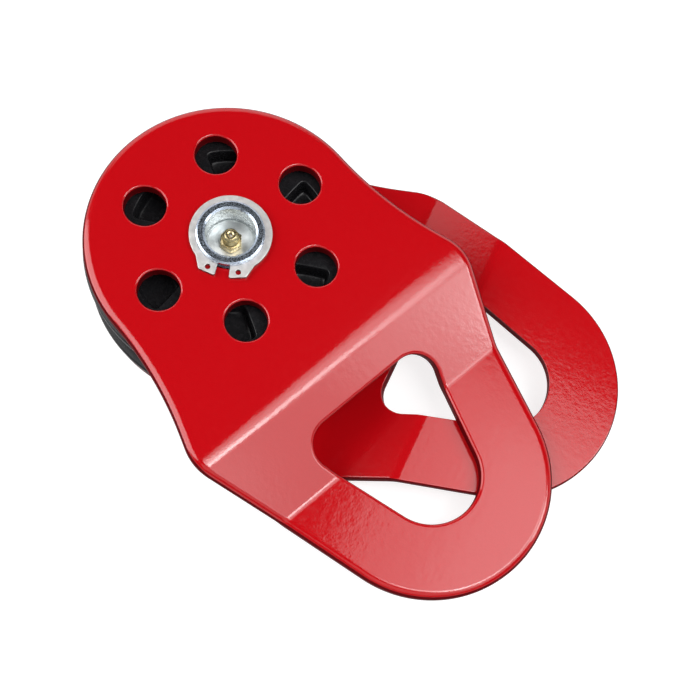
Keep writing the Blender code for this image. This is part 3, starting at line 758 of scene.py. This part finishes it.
axle_corners = [
    # the grease way and the nipple's socket, each with its corner's radius
    ((0.0, 13.7), 0), ((GREASE_WAY_R, 14.5), 0.3), ((GREASE_WAY_R, 23.7), 0.3),
    ((SOCKET_R, 24.7), 0.1), ((SOCKET_R, CUP_FLOOR_Z), 0.15),
    # the cup's floor, undercut, wall and chamfer
    ((CUP_R - 0.55, CUP_FLOOR_Z), 0.1), ((CUP_R - 0.35, CUP_FLOOR_Z - UNDERCUT), 0.1),
    ((CUP_R, CUP_FLOOR_Z - UNDERCUT), 0.1), ((CUP_R, AXLE_END_Z - 0.55), 0.12),
    ((CUP_R + 0.8, AXLE_END_Z), 0.12),
    # the end face, its chamfer and the retaining ring's seat
    ((AXLE_R - 0.7, AXLE_END_Z), 0.12), ((AXLE_R, AXLE_END_Z - 0.42), 0.12),
    ((AXLE_R, RING_SEAT_HIGH), 0.08), ((RING_SEAT_R, RING_SEAT_HIGH), 0.08),
    ((RING_SEAT_R, RING_SEAT_LOW), 0.08), ((AXLE_R, RING_SEAT_LOW), 0.08),
    # the countersunk head
    ((AXLE_R, AXLE_HEAD_T), 0.3), ((AXLE_HEAD_R, 0.3), 0.12), ((AXLE_HEAD_R, 0.0), 0.12),
    ((0.0, 0.0), 0),
]
axle_profile = rounded_profile([c for c, _ in axle_corners], [r for _, r in axle_corners[1:-1]], 4)
radius, height = axle_profile[0].T
in_cup = (radius < CUP_R + 0.05) & (height > CUP_FLOOR_Z - UNDERCUT - 0.05)
on_wall = in_cup & (radius > CUP_R - 0.05)
bored = (in_cup[:-1] & in_cup[1:]).astype(int) + (on_wall[:-1] & on_wall[1:])
axle = turned_piece("axle_plated", *axle_profile, 128, closed=False, bored=bored)
bush = turned_piece("bush_bronze", *ring_profile(BUSH_R, SHEAVE_Z, SHEAVE_W, edge=0.4), 96)
lower_section = ring_profile(WASHER_R, LOWER_WASHER_Z, WASHER_T, edge=0.2)
upper_section = ring_profile(WASHER_R, UPPER_WASHER_Z, WASHER_T, edge=0.2)
lower_washer = turned_piece("lower_washer_plated", *lower_section, 96)
upper_washer = turned_piece("upper_washer_plated", *upper_section, 96)

# %% [markdown]
# ## The retaining ring
#
# The ring is stamped from spring steel. It is widest opposite its gap, and ends in two ears with
# holes for the pliers. It is sheet metal as the plates are, only smaller and not bent.

# %% Make the retaining ring
RING_Z = 35.3
RING_T = 1.2
RING_INNER_R = 12.075
RING_OUTER_R = 15.05
RING_SHIFT = -0.35          # the outer arc's centre lies behind the axle, away from the gap
RING_GAP = math.radians(-75.0)
GAP_HALF_W = 2.25
EAR_SIDE_END = (16.2, 2.56)
EAR_CORNERS = [(16.7, 2.6), (15.2, 8.7), (12.2, 9.9)]
EAR_RADII = [0.6, 0.8, 1.6]
EAR_HOLE_AT = (13.9, 5.55)
EAR_HOLE_R = 1.0


def ring_outline(step):
    """Inner arc, one ear, outer arc and the other ear, with the gap at +X."""
    gap_at = math.sqrt(RING_INNER_R**2 - GAP_HALF_W**2)
    meet = math.radians(44)
    join = (RING_SHIFT + RING_OUTER_R * math.cos(meet), RING_OUTER_R * math.sin(meet))
    way = [(gap_at, GAP_HALF_W)] + EAR_CORNERS + [join]
    turns = [corner_arc(*way[k:k + 3], EAR_RADII[k], step / 2) for k in range(len(EAR_RADII))]
    ear = np.vstack([line(way[0], EAR_SIDE_END, step)[:-1]] + turns)
    angle = math.atan2(GAP_HALF_W, gap_at)
    inside_arc = arc((0, 0), RING_INNER_R, 2 * math.pi - angle, angle, step)[:-1]
    ear_end = math.radians(45)
    outside_arc = arc((RING_SHIFT, 0), RING_OUTER_R, ear_end, 2 * math.pi - ear_end, step)
    return np.vstack([inside_arc, ear, outside_arc, ear[:0:-1] * [1, -1]])


# The ring's marked wall steps take a dark steel finish of painted shade.
ring_edge = edge_profile(RING_T, 0.15, 0.15, 0.12, shaded_from=70, lip=0.05, segments=4)
ear_x, ear_y = EAR_HOLE_AT
ear_holes = [circle((ear_x, side * ear_y), EAR_HOLE_R, step=0.15) for side in (-1, 1)]
ring_loops = [evenly(ring_outline(step=0.2), step=0.2)] + ear_holes
retaining_ring = sheet_metal("retaining_ring_stamped", ring_loops, [ring_edge] * 3,
                             np.zeros((1, 2)), swung(RING_GAP, RING_Z + RING_T / 2))

# %% [markdown]
# ## The grease nipple
#
# The nipple is a small brass turning with a hexagon for the spanner. Its section blends from a
# hexagon to a circle: at each height the radius is the smaller of the turned profile's and,
# where the bar is still six-sided, the hexagon's. That keeps it one closed mesh, where a hexagon
# set on a turned body would leave faces inside.

# %% Make the nipple
NIPPLE_Z = 28.8
NIPPLE_BORE_R = 1.5
NIPPLE_MOUTH_R = 0.75
NIPPLE_NECK_R = 2.0
NIPPLE_HEAD_R = 2.75
NIPPLE_SHANK_R = 3.0
NIPPLE_FOOT = -3.5
HEX_HALF_W = 3.8
HEX_CORNER_R = 4.36
HEX_TOP = 3.0
HEX_TURN = math.radians(5.7)


def nipple_section():
    """Turned profile of the nipple, from the foot of its grease way up, out and down again."""
    corners = [
        # bore and mouth, each corner with its radius
        ((NIPPLE_BORE_R, 0.0), 0), ((NIPPLE_BORE_R, 6.3), 0.1), ((NIPPLE_MOUTH_R, 7.0), 0.05),
        ((NIPPLE_MOUTH_R, 7.3), 0.1), ((1.2, 7.55), 0.12),
        # head, neck and cone
        ((NIPPLE_NECK_R, 7.55), 0.25), ((NIPPLE_HEAD_R, 6.7), 0.25), ((NIPPLE_HEAD_R, 6.2), 0.25),
        ((NIPPLE_NECK_R, 5.4), 0.3), ((NIPPLE_NECK_R, 4.6), 0.3), ((3.0, 3.7), 0.2),
        # six-sided part with its chamfers
        ((3.15, HEX_TOP), 0.12), ((3.9, HEX_TOP - 0.05), 0.1), ((4.45, HEX_TOP - 0.45), 0.1),
        ((4.45, 0.35), 0.1), ((HEX_HALF_W, 0.0), 0.1),
        # shank
        ((NIPPLE_SHANK_R, 0.0), 0.1), ((NIPPLE_SHANK_R, NIPPLE_FOOT + 0.5), 0.1),
        ((2.5, NIPPLE_FOOT), 0.1), ((NIPPLE_BORE_R, NIPPLE_FOOT), 0.1), ((NIPPLE_BORE_R, 0.0), 0),
    ]
    return rounded_profile([c for c, _ in corners], [r for _, r in corners[1:-1]], 3)[0]


def make_nipple(name):
    """x = R cos a, y = R sin a, with R the smaller of the section's and the hexagon's radius."""
    section = nipple_section()
    angle = np.linspace(0, 2 * math.pi, 96, endpoint=False)
    fold = ((angle + HEX_TURN) % (math.pi / 3)) - math.pi / 6
    hexagon = np.minimum(HEX_HALF_W / np.cos(fold), HEX_CORNER_R)
    r = np.minimum(section[:, 0:1], hexagon[None, :])
    z = np.broadcast_to(section[:, 1:2] + NIPPLE_Z, r.shape)
    points = np.stack([r * np.cos(angle), r * np.sin(angle), z], axis=-1)
    faces = grid_faces(len(section), len(angle), close_rows=True, close_columns=True)
    piece = build_piece(name, points.reshape(-1, 3), None, [faces])
    piece.data.set_sharp_from_angle(angle=math.radians(28))
    return piece


nipple = make_nipple("nipple_turned")

# %% [markdown]
# ## The nipple's ball and spring
#
# A steel ball closes the nipple's mouth from inside, and a short spring holds it up. The ball is
# a half circle turned about the axle, so its two ends meet in a pole each. The spring is a round
# wire carried along a rising coil, and its cut ends are closed.

# %% Make the ball and the spring


def make_ball(name, radius, height):
    """A ball turned from a half circle: (radius cos a, radius sin a + height)."""
    around = np.linspace(math.pi / 2, -math.pi / 2, 25)
    reach = np.maximum(radius * np.cos(around), 0)
    section = np.stack([reach, radius * np.sin(around) + height], axis=1)
    section[[0, -1], 0] = 0.0
    normals = np.stack([np.cos(around), np.sin(around)], axis=1)
    return turned_piece(name, section, normals, 32, closed=False)


def make_spring(name, radius, wire_r, low, high, turns):
    """A coil: the wire's centre is (R cos t, R sin t, rising height), and its skin lies a wire
    radius away from it, round the circle that the radial direction and the axis span."""
    t = np.linspace(0, 1, turns * 24 + 1)[:, None]
    around = np.linspace(0, 2 * math.pi, 10, endpoint=False)[None, :]
    swing = 2 * math.pi * turns * t
    reach = radius + wire_r * np.cos(around)
    height = low + (high - low) * t + wire_r * np.sin(around)
    points = np.stack([reach * np.cos(swing), reach * np.sin(swing), height], axis=-1)
    ends = points[[0, -1]].mean(axis=1, keepdims=True).repeat(points.shape[1], axis=1)
    points = np.concatenate([ends[:1], points, ends[1:]])
    faces = grid_faces(points.shape[0], points.shape[1], close_columns=True)
    return build_piece(name, points.reshape(-1, 3), None, [faces])


ball = make_ball("nipple_ball_polished", radius=1.1, height=34.3)
spring = make_spring("nipple_spring_wound", radius=0.85, wire_r=0.2, low=28.0, high=32.9, turns=4)

# %% [markdown]
# ## A helper for finishes
#
# Each finish below is a small tree of shader nodes. All of them read Object coordinates, which
# are metres here, so a noise scale of 1000 gives grains of about a millimetre, and a pattern
# stays on its piece when the piece turns. Numbers that are the same all over the surface are set
# on the shader's own sockets. Only colour, roughness and bump come from other nodes, and on the
# cup's floor the direction in which highlights are drawn out.

# %% Finish helpers


def new_finish(name, colour, **settings):
    """A material with one Principled shader, whose sockets take the settings; returns both."""
    material = bpy.data.materials.new(name)
    material.use_nodes = True
    shader = material.node_tree.nodes["Principled BSDF"]
    shader.inputs["Base Color"].default_value = (*colour, 1)
    for socket, value in settings.items():
        shader.inputs[socket.replace("_", " ")].default_value = value
    material.diffuse_color = (*colour, 1)
    print(f"finish {name}")
    return material, shader


def node(owner, kind, **inputs):
    """One node in a material or a world, with plain values on the named inputs."""
    made = owner.node_tree.nodes.new(kind)
    for socket, value in inputs.items():
        made.inputs[socket.replace("_", " ")].default_value = value
    return made


def wire(owner, output, socket):
    """Connects one node's output to another node's input."""
    owner.node_tree.links.new(output, socket)


def noise(material, scale, detail=2.0, roughness=0.5):
    """A noise texture on the piece's own coordinates, in grains per metre."""
    place = node(material, "ShaderNodeTexCoord")
    grain = node(material, "ShaderNodeTexNoise", Scale=scale, Detail=detail, Roughness=roughness)
    wire(material, place.outputs["Object"], grain.inputs["Vector"])
    return grain.outputs["Fac"]


def spread(material, value, low, high, start=0.3, end=0.7):
    """Maps a texture's range start..end to low..high."""
    span = node(material, "ShaderNodeMapRange",
                From_Min=start, From_Max=end, To_Min=low, To_Max=high)
    wire(material, value, span.inputs["Value"])
    return span.outputs["Result"]


def blend_colours(material, share, first, second):
    """The first colour where share is 0 and the second where it is 1."""
    mix = node(material, "ShaderNodeMix")
    mix.data_type = "RGBA"
    for socket, colour in zip([s for s in mix.inputs if s.type == "RGBA"], (first, second)):
        socket.default_value = (*colour, 1)
    wire(material, share, mix.inputs["Factor"])
    return [s for s in mix.outputs if s.type == "RGBA"][0]


def bump(material, shader, height, distance, under=None):
    """A bump whose full height is the distance in metres, on top of the bump before it."""
    made = node(material, "ShaderNodeBump", Strength=1.0, Distance=distance)
    wire(material, height, made.inputs["Height"])
    if under is not None:
        wire(material, under, made.inputs["Normal"])
    wire(material, made.outputs["Normal"], shader.inputs["Normal"])
    return made.outputs["Normal"]


# %% [markdown]
# ## Red powder coat
#
# Powder is sprayed on dry and melts in an oven into a thick glossy skin. It never flows quite
# flat: its surface has a soft waviness, the orange peel, that breaks up the edges of every
# reflection. Two bumps give it, one of about two millimetres and one of less than one. The
# colour carries a very fine speckle. The steep, torn part of a punched edge has a plain, matt
# finish of its own, whose dark red is painted shade that draws a dark outline along the edges.

# %% Red powder coat


def powder_coat(name, colour, deep):
    """Glossy baked powder: speckled colour, two sizes of orange peel."""
    material, shader = new_finish(name, colour, Roughness=0.12, IOR=1.58)
    speckle = spread(material, noise(material, 5200, roughness=0.6), 0.0, 1.0, start=0.36, end=0.62)
    wire(material, blend_colours(material, speckle, deep, colour), shader.inputs["Base Color"])
    wire(material, spread(material, noise(material, 900), 0.09, 0.15), shader.inputs["Roughness"])
    wide = bump(material, shader, noise(material, 420, detail=1.0), distance=0.000032)
    bump(material, shader, noise(material, 1300, detail=1.0), distance=0.000017, under=wide)
    return material


red_coat = powder_coat("red_powder_coat", (0.46, 0.0022, 0.0055), (0.405, 0.0018, 0.004))
# The dark red on the torn walls is painted shade, a dark outline along every plate edge.
sheared_red_painted_shade, _ = new_finish("red_coat_painted_shade_on_sheared_edge", (0.11, 0.002, 0.004), Roughness=0.5,
                            Specular_IOR_Level=0.02)

# %% [markdown]
# ## Black paint on the cast sheave
#
# The casting keeps the texture of the sand it was poured in, softened by one coat of black
# paint. The paint is less glossy than the powder coat and lets the grain through.

# %% Black sheave paint


def casting_paint(name, colour, pale):
    """Semi-gloss paint over sand-cast grain."""
    material, shader = new_finish(name, colour, Roughness=0.26, IOR=1.5, Specular_IOR_Level=0.3)
    tone = blend_colours(material, noise(material, 700, detail=4.0), colour, pale)
    wire(material, tone, shader.inputs["Base Color"])
    gloss = spread(material, noise(material, 500, detail=3.0), 0.2, 0.32)
    wire(material, gloss, shader.inputs["Roughness"])
    bump(material, shader, noise(material, 1300, detail=4.0, roughness=0.6), distance=0.00004)
    return material


sheave_paint = casting_paint("black_sheave_paint", (0.005, 0.005, 0.006), (0.015, 0.015, 0.017))

# %% [markdown]
# ## Metals
#
# Zinc plating grows in small crystals, the spangle, whose greys differ a little: cells of a
# Voronoi texture set their colour and their tilt. Turned faces also carry fine rings from the
# tool, which are waves of the distance from the axle. The bored cup is brighter than the rest,
# and the rings on its floor draw each highlight out into a streak, which a tangent round the
# axle and some anisotropy give. Brass, bronze and spring steel are bare metals, each with its
# own fine marks. Each metal has a light and a dark tone and a least and a greatest roughness.

# %% Zinc, spring steel, brass and bronze
ONE_RING = 0.31831          # scale at which the wave texture has about one ring per metre
SPANGLE = 2300.0            # crystals per metre


def tool_rings(material, pitch):
    """Waves round the axle: the sine of the distance from it, one ring per pitch in metres."""
    place = node(material, "ShaderNodeTexCoord")
    scale = 1.0 / pitch * ONE_RING
    rings = node(material, "ShaderNodeTexWave", Scale=scale, Distortion=0.6, Detail=1.0)
    rings.wave_type = "RINGS"
    rings.rings_direction = "Z"
    wire(material, place.outputs["Object"], rings.inputs["Vector"])
    return rings.outputs["Fac"]


def zinc(name, light, dark, low, high, **settings):
    """Bright zinc: crystals of slightly different grey and gloss, over faint tool rings."""
    material, shader = new_finish(name, light, Metallic=1.0, **settings)
    place = node(material, "ShaderNodeTexCoord")
    crystals = node(material, "ShaderNodeTexVoronoi", Scale=SPANGLE)
    wire(material, place.outputs["Object"], crystals.inputs["Vector"])
    grey = node(material, "ShaderNodeSeparateColor")
    wire(material, crystals.outputs["Color"], grey.inputs["Color"])
    tone, tilt = grey.outputs["Red"], grey.outputs["Green"]
    wire(material, blend_colours(material, tone, dark, light), shader.inputs["Base Color"])
    wire(material, spread(material, tilt, low, high, 0.0, 1.0), shader.inputs["Roughness"])
    grain = bump(material, shader, tilt, distance=0.000006)
    bump(material, shader, tool_rings(material, pitch=0.0003), distance=0.000004, under=grain)
    return material


def bare_metal(name, light, dark, low, high, grain, depth, pitch):
    """Bare metal: blotchy tone and gloss, a fine grain, and tool rings."""
    material, shader = new_finish(name, light, Metallic=1.0, Roughness=low)
    tone = blend_colours(material, noise(material, 450, detail=4.0), dark, light)
    wire(material, tone, shader.inputs["Base Color"])
    gloss = spread(material, noise(material, grain, detail=3.0), low, high)
    wire(material, gloss, shader.inputs["Roughness"])
    fine = bump(material, shader, noise(material, grain * 4, detail=3.0), depth)
    bump(material, shader, tool_rings(material, pitch), depth * 0.6, under=fine)
    return material


zinc_plating = zinc("zinc_plating", (0.56, 0.64, 0.74), (0.42, 0.48, 0.58), 0.2, 0.32)
bored_zinc = zinc("zinc_on_the_cup_floor", (0.86, 0.88, 0.87), (0.78, 0.8, 0.8), 0.4, 0.5,
                  Anisotropic=0.8)
cup_wall_zinc = zinc("zinc_on_the_cup_wall", (0.5, 0.54, 0.55), (0.4, 0.44, 0.46), 0.22, 0.3)
along_the_cut = node(bored_zinc, "ShaderNodeTangent")
along_the_cut.direction_type = "RADIAL"
along_the_cut.axis = "Z"
floor_shader = bored_zinc.node_tree.nodes["Principled BSDF"]
wire(bored_zinc, along_the_cut.outputs["Tangent"], floor_shader.inputs["Tangent"])
# The ring's torn walls get a dark steel of painted shade, a dark outline round the ring.
sheared_steel_painted_shade, _ = new_finish("sheared_steel_edge_painted_shade", (0.16, 0.15, 0.14), Metallic=1.0,
                              Roughness=0.45)
spring_steel = bare_metal("spring_steel", (0.95, 0.91, 0.89), (0.54, 0.53, 0.52), 0.4, 0.6,
                          grain=1200, depth=0.00002, pitch=0.0005)
brass = bare_metal("brass", (0.86, 0.72, 0.42), (0.74, 0.58, 0.3), 0.2, 0.32,
                   grain=900, depth=0.000006, pitch=0.0002)
bronze = bare_metal("bronze", (0.6, 0.4, 0.2), (0.42, 0.27, 0.13), 0.3, 0.45,
                    grain=700, depth=0.00001, pitch=0.0003)

# %% [markdown]
# ## Each piece stands for its CAD node
#
# Every piece replaces one CAD node, rides on that node's body so that the joints carry it, and
# names the material slot that its finish belongs to. The sheared walls of the plates and the ring
# take dark finishes of painted shade, and the bored cup of the axle has finishes of its own.

# %% Fit the pieces to the frame
fitting = [
    (lower_plate, "lower_side_plate", "lower_plate_and_axle", red_coat, "red_powder_coat"),
    (upper_plate, "upper_side_plate", "upper_plate", red_coat, "red_powder_coat"),
    (sheave, "sheave", "sheave_body", sheave_paint, "black_sheave_paint"),
    (bush, "sheave_bush", "sheave_body", bronze, "bronze"),
    (axle, "axle_pin", "lower_plate_and_axle", zinc_plating, "zinc_plating"),
    (lower_washer, "lower_thrust_washer", "lower_plate_and_axle", zinc_plating, "zinc_plating"),
    (upper_washer, "upper_thrust_washer", "lower_plate_and_axle", zinc_plating, "zinc_plating"),
    (retaining_ring, "retaining_ring", "lower_plate_and_axle", spring_steel, "spring_steel"),
    (nipple, "grease_nipple", "lower_plate_and_axle", brass, "brass"),
    (ball, "nipple_ball", "lower_plate_and_axle", spring_steel, "spring_steel"),
    (spring, "nipple_spring", "lower_plate_and_axle", spring_steel, "spring_steel"),
]
# The plates' and the ring's second finishes are painted shade on their torn walls.
more_finishes = {
    lower_plate: [sheared_red_painted_shade],
    upper_plate: [sheared_red_painted_shade],
    retaining_ring: [sheared_steel_painted_shade],
    axle: [bored_zinc, cup_wall_zinc],
}
for piece, stands_for, body, finish, slot_name in fitting:
    for material in [finish] + more_finishes.get(piece, []):
        piece.data.materials.append(material)
    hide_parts(stands_for)
    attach(piece, body)
    low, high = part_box(stands_for)
    foot, head = 1000 * low[2], 1000 * high[2]
    print(f"{piece.name} stands for {stands_for}, {foot:.1f} to {head:.1f} mm high")

# %% [markdown]
# ## The table
#
# The table and the sheet behind it are one pale surface. Seen straight or in a reflection, it
# glows a little, so that it comes out white as in a cut-out, while it still takes the block's
# soft shadow.

# %% Table
HALF = 4.0
TABLE_DROP = 0.0002         # keeps the table just clear of the plate that lies on it
TABLE_GLOW = 0.8
table_corners = [(-HALF, -HALF, 0), (HALF, -HALF, 0), (HALF, HALF, 0), (-HALF, HALF, 0)]
table_mesh = bpy.data.meshes.new("table")
table_mesh.from_pydata(table_corners, [], [(0, 1, 2, 3)])
table = bpy.data.objects.new("table", table_mesh)
scene.collection.objects.link(table)
table.location.z = -TABLE_DROP
table_white, table_shader = new_finish("table_white", (0.36, 0.36, 0.36), Roughness=0.9)
rays = node(table_white, "ShaderNodeLightPath")
seen = node(table_white, "ShaderNodeMath")
seen.operation = "MAXIMUM"
wire(table_white, rays.outputs["Is Camera Ray"], seen.inputs[0])
wire(table_white, rays.outputs["Is Glossy Ray"], seen.inputs[1])
glow = node(table_white, "ShaderNodeMath")
glow.operation = "MULTIPLY"
glow.inputs[1].default_value = TABLE_GLOW
wire(table_white, seen.outputs[0], glow.inputs[0])
table_shader.inputs["Emission Color"].default_value = (1, 1, 1, 1)
wire(table_white, glow.outputs[0], table_shader.inputs["Emission Strength"])
table_mesh.materials.append(table_white)

# %% [markdown]
# ## Light
#
# Glossy paint shows its lamps, so each lamp is placed by what mirrors it. A ceiling of flat
# softboxes ends just short of where the heads look, so the heads stay deep red. Its first part
# puts the soft pink sheen on the bails, a small bright one lights their rolled rims, a narrow
# bright one draws the light line along each bend, and the far part lights the sloping web,
# brightest at the web's outer end. Brighter lamps hang a little lower than the wide ones, so that
# they aren't hidden by them. A box at the left fills the rolled edges and the lower plate's web,
# and weak ones behind and in front soften the rest. Sizes and places here are in metres.

# %% Lamps


def softbox(name, centre, size, aim, radiance):
    """A rectangle of light. Its power is pi times its area times the brightness it shows."""
    lamp = bpy.data.lights.new(name, "AREA")
    lamp.shape = "RECTANGLE"
    lamp.size, lamp.size_y = size
    lamp.energy = math.pi * size[0] * size[1] * radiance
    holder = bpy.data.objects.new(name, lamp)
    holder.location = centre
    holder.rotation_euler = (Vector(aim) - Vector(centre)).to_track_quat("-Z", "Y").to_euler()
    holder.visible_camera = False
    scene.collection.objects.link(holder)
    print(f"{name}: {lamp.energy:.1f} W")


def ceiling_box(name, x, y, radiance, height):
    """A softbox in the ceiling that faces straight down, over the range x and the range y."""
    centre = ((x[0] + x[1]) / 2, (y[0] + y[1]) / 2, height)
    softbox(name, centre, (x[1] - x[0], y[1] - y[0]), (centre[0], centre[1], 0.0), radiance)


ceiling = [
    # name, range of x, range of y, brightness, height
    ("bail_box", (0.078, 0.56), (-0.25, 0.388), 2.3, 1.0),
    ("bail_box_middle", (0.19, 0.54), (-0.12, 0.31), 1.2, 0.99),
    ("rim_box", (0.16, 0.48), (-0.22, -0.05), 5.0, 0.985),
    ("bend_box", (0.36, 0.50), (-0.25, 0.12), 7.0, 0.98),
    ("bend_box_end", (0.38, 0.62), (0.12, 0.3), 3.0, 0.98),
    ("web_box", (0.56, 1.0), (-0.45, 0.42), 2.1, 1.0),
    ("web_box_middle", (0.62, 1.0), (0.0, 0.42), 1.5, 0.99),
    ("web_box_end", (0.68, 0.86), (0.12, 0.42), 1.6, 0.98),
    ("web_edge_box", (0.86, 1.5), (0.15, 0.6), 7.0, 0.98),
]
for box in ceiling:
    ceiling_box(*box)
on_the_block = (0.027, -0.126, 0)
softbox("left_box", (-0.743, -0.29, 0.616), size=(0.8, 1.06), aim=on_the_block, radiance=3.7)
softbox("back_box", (-0.6, 0.85, 0.6), size=(1.0, 0.55), aim=(0, 0, 0), radiance=1.1)
softbox("front_box", (0.42, -0.72, 1.0), size=(1.2, 0.7), aim=(0, 0, 0), radiance=0.8)

# %% [markdown]
# ## Surroundings
#
# The room is white to the eye and near the horizon of a reflection, where the table's backdrop
# would be, and dark overhead. It adds a low even light, so that no shadow is black.

# %% World
HIGH, LOW = 0.5, 0.2         # the sky darkens between these heights of a direction
OVERHEAD = 0.02
EVEN_LIGHT = 0.15
world = bpy.data.worlds.new("studio")
scene.world = world
world.use_nodes = True
background = world.node_tree.nodes["Background"]
background.inputs["Color"].default_value = (1, 1, 1, 1)
direction = node(world, "ShaderNodeTexCoord")
axes = node(world, "ShaderNodeSeparateXYZ")
wire(world, direction.outputs["Generated"], axes.inputs["Vector"])
horizon = node(world, "ShaderNodeMapRange",
               From_Min=LOW, From_Max=HIGH, To_Min=1.0, To_Max=OVERHEAD)
horizon.interpolation_type = "SMOOTHSTEP"
wire(world, axes.outputs["Z"], horizon.inputs["Value"])
sky_rays = node(world, "ShaderNodeLightPath")
mirrored = node(world, "ShaderNodeMix", A=EVEN_LIGHT)
wire(world, sky_rays.outputs["Is Glossy Ray"], mirrored.inputs["Factor"])
wire(world, horizon.outputs["Result"], mirrored.inputs["B"])
seen_sky = node(world, "ShaderNodeMix", B=1.0)
wire(world, sky_rays.outputs["Is Camera Ray"], seen_sky.inputs["Factor"])
wire(world, mirrored.outputs["Result"], seen_sky.inputs["A"])
wire(world, seen_sky.outputs["Result"], background.inputs["Strength"])
print(f"world {world.name}: {len(world.node_tree.nodes)} nodes")

# %% [markdown]
# ## Camera
#
# The camera looks down from the front right, about seventy-four degrees below the level. Its
# place, turn, lens and shift were solved from the outlines of the plates in the photograph.

# %% Camera
lens = bpy.data.cameras.new("camera")
lens.sensor_width = 36.0
lens.lens = 59.365
lens.shift_x = -0.04371
lens.shift_y = 0.10737
lens.clip_start = 0.01
camera = bpy.data.objects.new("camera", lens)
camera.location = (0.0863122, -0.1526010, 0.4252659)
camera.rotation_euler = [math.radians(a) for a in (14.98208, -5.66798, 24.28179)]
scene.collection.objects.link(camera)
scene.camera = camera
scene.view_settings.view_transform = "Standard"
print(f"camera {camera.location.length:.3f} m from the axle's foot, lens {lens.lens:.1f} mm")
